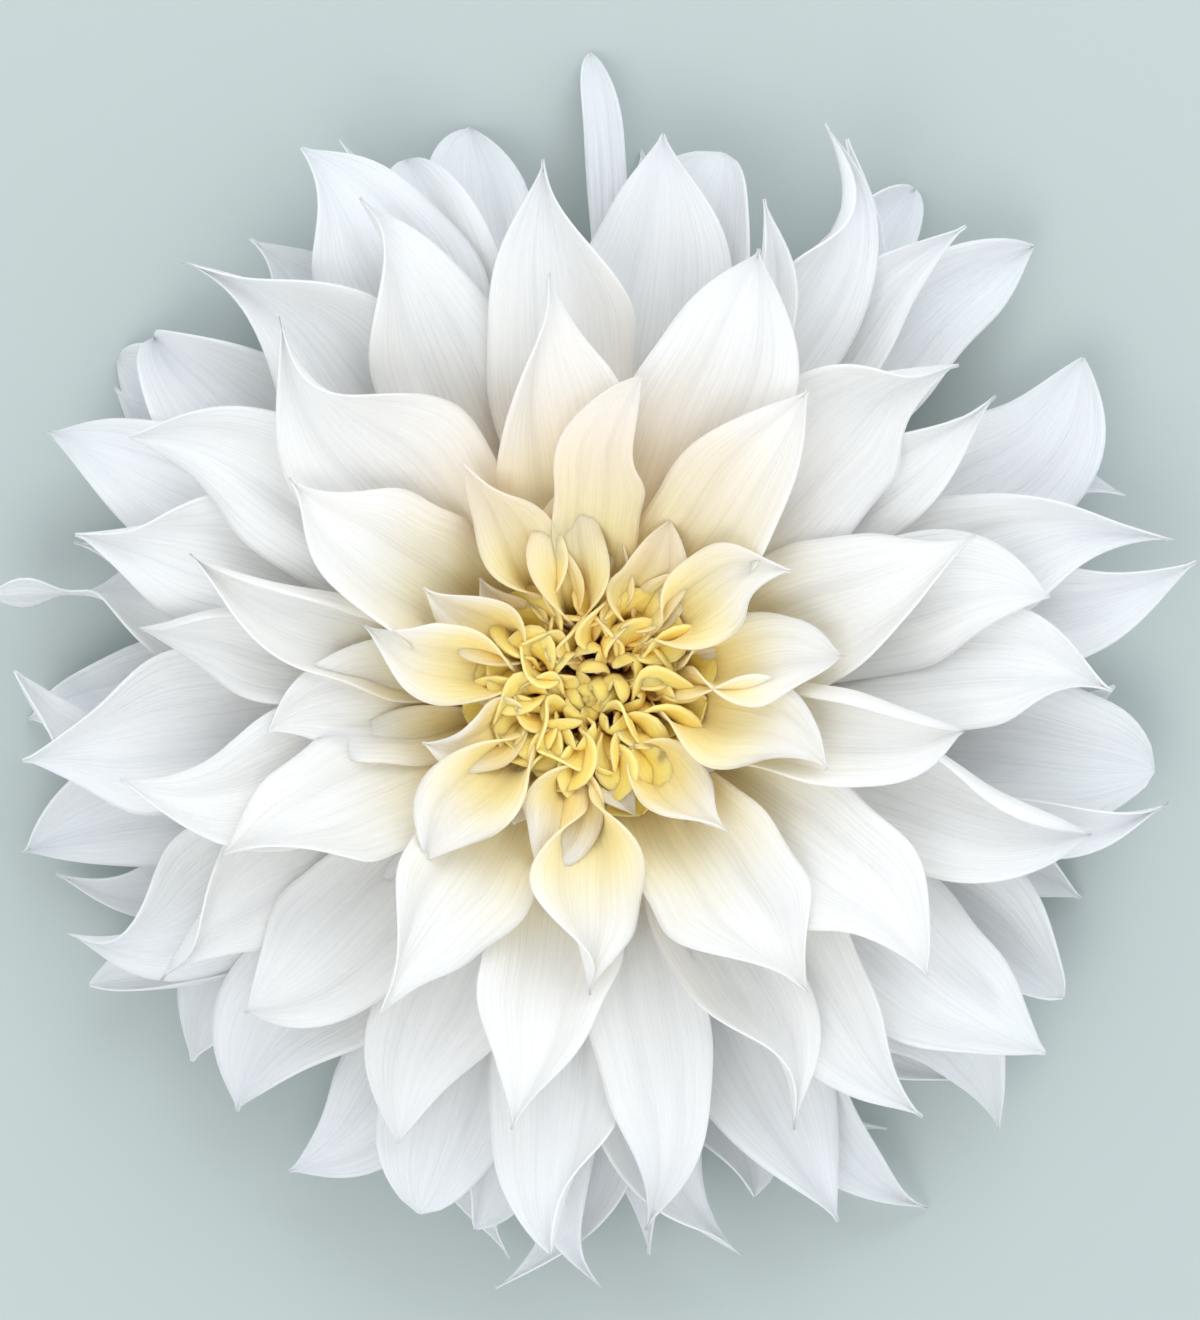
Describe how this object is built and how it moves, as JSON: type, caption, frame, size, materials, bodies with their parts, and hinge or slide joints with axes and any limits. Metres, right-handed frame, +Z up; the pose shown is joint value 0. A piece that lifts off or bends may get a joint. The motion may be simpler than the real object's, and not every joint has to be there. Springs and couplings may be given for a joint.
{
  "type": "dahlia flower",
  "caption": "Large white dahlia bloom with rings of pointed petals round a golden heart, cut close under its bracts and lying face up.",
  "frame": {"origin": "centre of the base of the flower's box, on the surface that the flower lies on", "axes": "+Z up out of the flower's face, along the stem; +Y towards its longest petals; +X to the right, seen from above"},
  "size_m": [0.2356, 0.246, 0.0719],
  "materials": {
    "floret_white": "soft satin petal, faint veins",
    "floret_cream": "soft satin petal, cream at the root",
    "floret_gold": "soft satin young petal",
    "bract_green": "matte leaf",
    "stem_green": "matte green stem"
  },
  "bodies": {
    "root": {"stem_with_receptacle": "stem_green", "inner_bract_cup": "bract_green", "outer_bract_1": "bract_green", "outer_bract_2": "bract_green", "outer_bract_3": "bract_green", "outer_bract_4": "bract_green", "outer_bract_5": "bract_green", "heart_florets": "floret_gold", "outer_petal_01": "floret_white", "outer_petal_02": "floret_white", "outer_petal_03": "floret_white", "outer_petal_04": "floret_white", "outer_petal_05": "floret_white", "outer_petal_06": "floret_white", "outer_petal_07": "floret_white", "outer_petal_08": "floret_white", "outer_petal_09": "floret_white", "outer_petal_10": "floret_white", "outer_petal_11": "floret_white", "outer_petal_12": "floret_white", "outer_petal_13": "floret_white", "outer_petal_14": "floret_white", "outer_petal_15": "floret_white", "outer_petal_16": "floret_white", "outer_petal_17": "floret_white", "outer_petal_18": "floret_white", "outer_petal_19": "floret_white", "outer_petal_20": "floret_white", "middle_petal_01": "floret_white", "middle_petal_02": "floret_white", "middle_petal_03": "floret_white", "middle_petal_04": "floret_white", "middle_petal_05": "floret_white", "middle_petal_06": "floret_white", "middle_petal_07": "floret_white", "middle_petal_08": "floret_white", "middle_petal_09": "floret_white", "middle_petal_10": "floret_white", "middle_petal_11": "floret_white", "inner_petal_01": "floret_white", "inner_petal_02": "floret_white", "inner_petal_03": "floret_white", "inner_petal_04": "floret_white", "inner_petal_05": "floret_white", "inner_petal_06": "floret_white", "inner_petal_07": "floret_white", "inner_petal_08": "floret_white", "inner_petal_09": "floret_white", "inner_petal_10": "floret_white", "inner_petal_11": "floret_white", "collar_petal_01": "floret_cream", "collar_petal_02": "floret_cream", "collar_petal_03": "floret_cream", "collar_petal_04": "floret_cream", "collar_petal_05": "floret_cream", "collar_petal_06": "floret_cream", "collar_petal_07": "floret_cream", "collar_petal_08": "floret_cream", "collar_petal_09": "floret_cream", "collar_petal_10": "floret_cream"}
  },
  "joints": []
}
